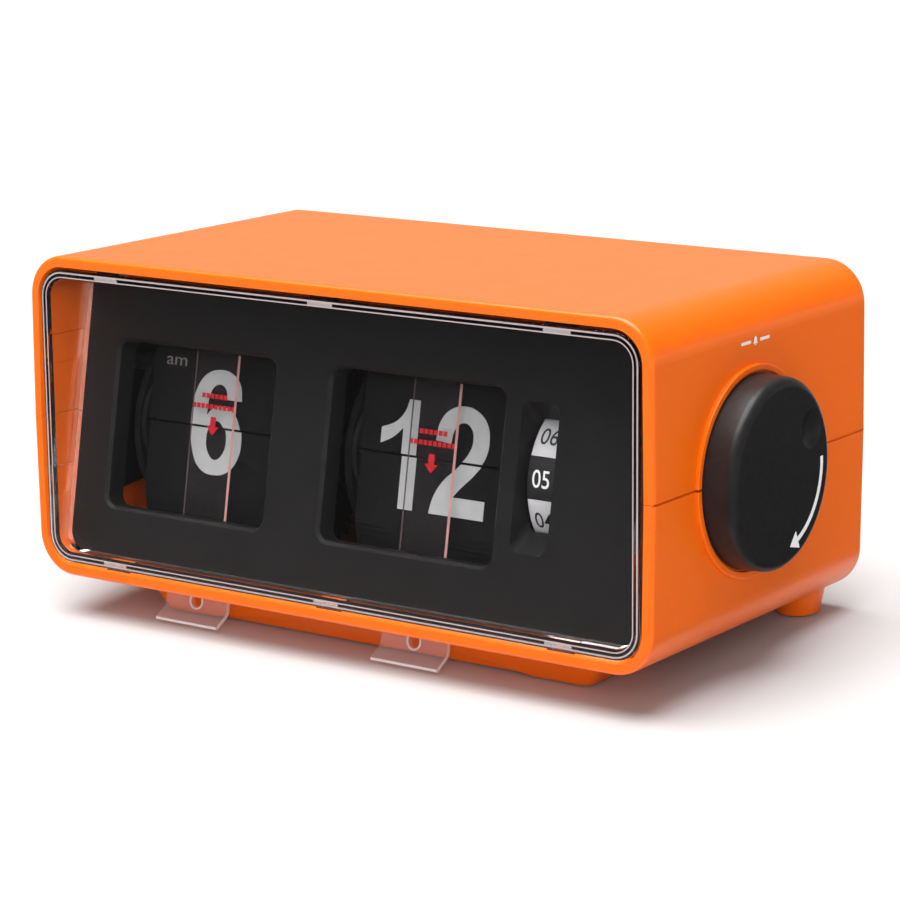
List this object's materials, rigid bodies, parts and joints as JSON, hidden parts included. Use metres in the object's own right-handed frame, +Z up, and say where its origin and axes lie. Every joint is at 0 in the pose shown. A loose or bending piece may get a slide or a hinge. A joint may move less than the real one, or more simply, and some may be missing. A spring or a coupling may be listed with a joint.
{
  "type": "flip number clock",
  "caption": "Orange bedside clock with split number leaves behind a clear front, an alarm drum, side setting knobs and a leaning stance.",
  "frame": {"origin": "middle of the footprint box on the table, on the plane the pads rest on", "axes": "+X to the right seen from the front, +Y from the front to the back, +Z up"},
  "size_m": [0.1964, 0.1012, 0.0905],
  "materials": {
    "case_orange": "glossy moulded orange",
    "clear_front": "clear polished",
    "dial_black": "fine matte black",
    "rubber_black": "matte",
    "screw_steel": "zinc plated",
    "frame_black": "matte black",
    "bright_steel": "bright drawn",
    "spring_brass": "nickel plated spring strip",
    "leaf_black": "matte black with pale printed figures",
    "drum_black": "moulded black",
    "gear_white": "natural acetal",
    "spindle_white": "natural acetal",
    "knob_black": "satin black",
    "alarm_drum_white": "white with black fields and figures",
    "motor_case": "plated",
    "board_green": "green solder mask",
    "component_black": "moulded black",
    "switch_black": "satin black",
    "tray_black": "matte black",
    "cell_label": "plain wrapped label",
    "door_orange": "glossy moulded orange",
    "strip_clear": "clear film with red marks"
  },
  "bodies": {
    "case": {"upper_shell": "case_orange", "lower_shell": "case_orange", "front_lens": "clear_front", "dial_panel": "dial_black", "rubber_pads": "rubber_black", "case_screws": "screw_steel", "frame_left": "frame_black", "frame_centre": "frame_black", "frame_right": "frame_black", "frame_end": "frame_black", "spindle_bracket": "frame_black", "tie_bars": "bright_steel", "frame_screws": "screw_steel", "hour_leaf_pack": "leaf_black", "minute_leaf_pack": "leaf_black", "hour_catch_spring": "frame_black", "minute_catch_spring": "frame_black", "transfer_axle": "bright_steel", "idler_axle": "bright_steel", "alarm_axle": "bright_steel", "motor_body": "motor_case", "circuit_board": "board_green", "board_components": "component_black", "buzzer": "component_black", "alarm_contact": "spring_brass", "alarm_switch_housing": "component_black", "battery_tray": "tray_black", "battery_cell": "cell_label", "battery_contacts": "spring_brass"},
    "minute_works": {"main_shaft": "bright_steel", "minute_drum": "drum_black", "minute_pinion": "drum_black", "drive_gear": "gear_white", "time_set_gear": "gear_white", "shaft_clips": "bright_steel"},
    "time_set": {"time_set_knob": "knob_black", "time_set_spindle": "spindle_white"},
    "hour_works": {"hour_drum": "drum_black", "hour_gear": "drum_black"},
    "transfer": {"transfer_gear": "drum_black"},
    "idler": {"idler_gear": "gear_white"},
    "rotor": {"motor_rotor": "gear_white"},
    "alarm_set": {"alarm_set_knob": "knob_black", "alarm_spindle": "spindle_white"},
    "alarm_works": {"alarm_drum": "alarm_drum_white", "alarm_gear": "gear_white", "alarm_cam": "gear_white"},
    "hour_leaf": {"hour_upper_leaf": "leaf_black"},
    "minute_leaf": {"minute_upper_leaf": "leaf_black"},
    "alarm_switch": {"alarm_switch_slider": "switch_black"},
    "door": {"battery_door": "door_orange"},
    "hour_strip": {"hour_strip_film": "strip_clear", "hour_strip_tab": "strip_clear"},
    "minute_strip": {"minute_strip_film": "strip_clear", "minute_strip_tab": "strip_clear"}
  },
  "joints": [
    {"name": "minute_turn", "type": "hinge", "parent": "case", "child": "minute_works", "pos_m": [0, -0.01483, 0.04392], "axis": [1, 0, 0], "continuous": true},
    {"name": "time_set_turn", "type": "hinge", "parent": "case", "child": "time_set", "pos_m": [0, -0.00666, 0.0477], "axis": [1, 0, 0], "continuous": true},
    {"name": "hour_turn", "type": "hinge", "parent": "case", "child": "hour_works", "pos_m": [0, -0.01483, 0.04392], "axis": [1, 0, 0], "continuous": true},
    {"name": "transfer_turn", "type": "hinge", "parent": "case", "child": "transfer", "pos_m": [0, -0.00085, 0.04314], "axis": [1, 0, 0], "continuous": true},
    {"name": "idler_turn", "type": "hinge", "parent": "case", "child": "idler", "pos_m": [0, 0.00951, 0.03821], "axis": [1, 0, 0], "continuous": true},
    {"name": "rotor_turn", "type": "hinge", "parent": "case", "child": "rotor", "pos_m": [0, 0.02168, 0.03536], "axis": [1, 0, 0], "continuous": true},
    {"name": "alarm_set_turn", "type": "hinge", "parent": "case", "child": "alarm_set", "pos_m": [0, -0.00666, 0.0477], "axis": [1, 0, 0], "continuous": true},
    {"name": "alarm_turn", "type": "hinge", "parent": "case", "child": "alarm_works", "pos_m": [0, -0.01483, 0.04392], "axis": [1, 0, 0], "continuous": true},
    {"name": "hour_leaf_fall", "type": "hinge", "parent": "case", "child": "hour_leaf", "pos_m": [-0.0487, -0.0266, 0.04714], "axis": [1, 0, 0], "range_deg": [0, 178], "deforming": ["hour_strip_film"]},
    {"name": "minute_leaf_fall", "type": "hinge", "parent": "case", "child": "minute_leaf", "pos_m": [0.0171, -0.0266, 0.04714], "axis": [1, 0, 0], "range_deg": [0, 178], "deforming": ["minute_strip_film"]},
    {"name": "alarm_switch_slide", "type": "slide", "parent": "case", "child": "alarm_switch", "axis": [1, 0, 0], "range_m": [0, 0.006]},
    {"name": "battery_door_hinge", "type": "hinge", "parent": "case", "child": "door", "pos_m": [0, 0.04524, 0.01094], "axis": [-1, 0, 0], "range_deg": [0, 90]},
    {"name": "hour_strip_pull", "type": "slide", "parent": "case", "child": "hour_strip", "axis": [0, -0.2358, -0.9718], "range_m": [0, 0.062]},
    {"name": "minute_strip_pull", "type": "slide", "parent": "case", "child": "minute_strip", "axis": [0, -0.2358, -0.9718], "range_m": [0, 0.062]}
  ],
  "couplings": [
    {"joint": "minute_turn", "follows": "time_set_turn", "ratio": -0.5},
    {"joint": "hour_turn", "follows": "time_set_turn", "ratio": -0.020833},
    {"joint": "transfer_turn", "follows": "time_set_turn", "ratio": 0.125},
    {"joint": "idler_turn", "follows": "time_set_turn", "ratio": 0.75},
    {"joint": "rotor_turn", "follows": "time_set_turn", "ratio": -3},
    {"joint": "alarm_turn", "follows": "alarm_set_turn", "ratio": -0.5}
  ]
}
